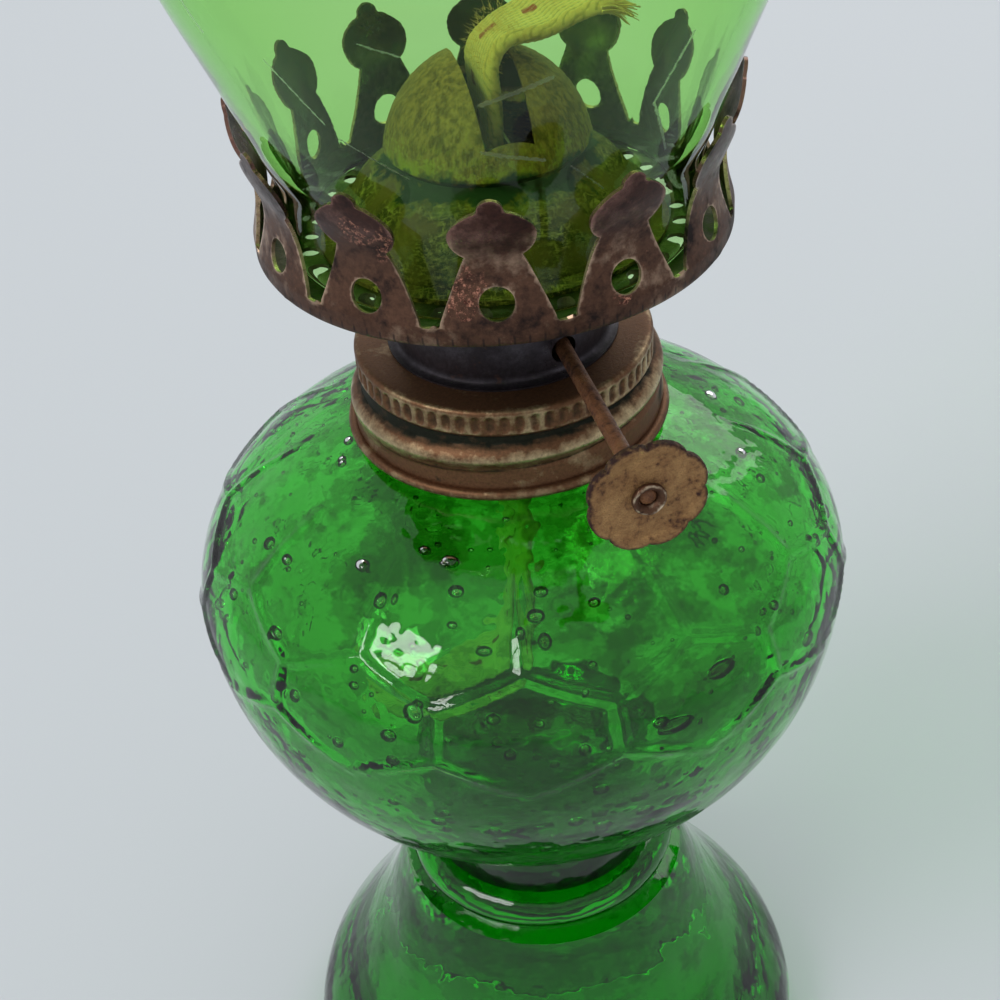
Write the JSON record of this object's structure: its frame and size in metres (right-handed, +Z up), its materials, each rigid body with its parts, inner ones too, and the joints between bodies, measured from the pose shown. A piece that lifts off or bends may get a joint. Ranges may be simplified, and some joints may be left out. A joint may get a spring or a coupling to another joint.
{
  "type": "flat-wick oil lamp",
  "caption": "Small table oil lamp: moulded glass font on a bell foot, screw burner with pronged gallery, flat wick raised by a knob, and a glass chimney.",
  "frame": {"origin": "centre of the ring that the glass foot stands on", "axes": "+Z up along the lamp's axis, -Y towards the side that the wick knob points to"},
  "size_m": [0.0792, 0.0792, 0.26],
  "materials": {
    "font_glass": "pressed bottle-green glass with many small bubbles",
    "chimney_glass": "thin light green blown glass",
    "washer_cork": "aged cork and rubber washer",
    "cap_brass": "tarnished brass, red-brown on top",
    "burner_steel": "dull plated sheet with oil stain",
    "drum_steel": "blue-black stained sheet",
    "spindle_steel": "rust-brown steel rod",
    "knob_brass": "speckled brown stamped brass",
    "eyelet_steel": "crimped eyelet with bright wear",
    "crown_brass": "dark purple-brown aged brass with coppery rubbed patches",
    "plate_brass": "dark perforated brass floor",
    "deflector_brass": "olive-brown brass with streaks and green bloom",
    "wick_cotton": "yellowed woven cotton with a coloured tracer thread"
  },
  "bodies": {
    "base": {"glass_base": "font_glass"},
    "riser": {"cap_gasket": "washer_cork"},
    "burner": {"screw_cap": "cap_brass", "fuel_plate": "burner_steel", "burner_drum": "drum_steel", "wick_tube": "burner_steel", "vent_tube": "burner_steel", "spindle_bracket": "burner_steel", "gallery_crown": "crown_brass", "air_plate": "plate_brass", "flame_deflector": "deflector_brass"},
    "knob_spindle": {"spindle": "spindle_steel", "spindle_collar": "burner_steel", "ratchet_wheel_front": "burner_steel", "ratchet_wheel_rear": "burner_steel", "knob": "knob_brass", "knob_eyelet": "eyelet_steel"},
    "wick_strip": {"wick": "wick_cotton"},
    "chimney_glass": {"chimney": "chimney_glass"}
  },
  "joints": [
    {"name": "burner_rise", "type": "slide", "parent": "base", "child": "riser", "axis": [0, 0, 1], "range_m": [0, 0.0063]},
    {"name": "burner_turn", "type": "hinge", "parent": "riser", "child": "burner", "pos_m": [0, 0, 0.125], "axis": [0, 0, 1], "range_deg": [0, 540]},
    {"name": "knob_turn", "type": "hinge", "parent": "burner", "child": "knob_spindle", "pos_m": [0.00391, 0.00083, 0.1279], "axis": [-0.2079, 0.9781, 0], "range_deg": [-17.2, 114]},
    {"name": "wick_raise", "type": "slide", "parent": "burner", "child": "wick_strip", "axis": [0, 0, 1], "range_m": [-0.0009, 0.00596]},
    {"name": "chimney_lift", "type": "slide", "parent": "burner", "child": "chimney_glass", "axis": [0, 0, 1], "range_m": [0, 0.06]}
  ],
  "couplings": [
    {"joint": "burner_rise", "follows": "burner_turn", "m_per_rad": 0.00066845},
    {"joint": "knob_turn", "follows": "wick_raise", "rad_per_m": 333.33}
  ]
}
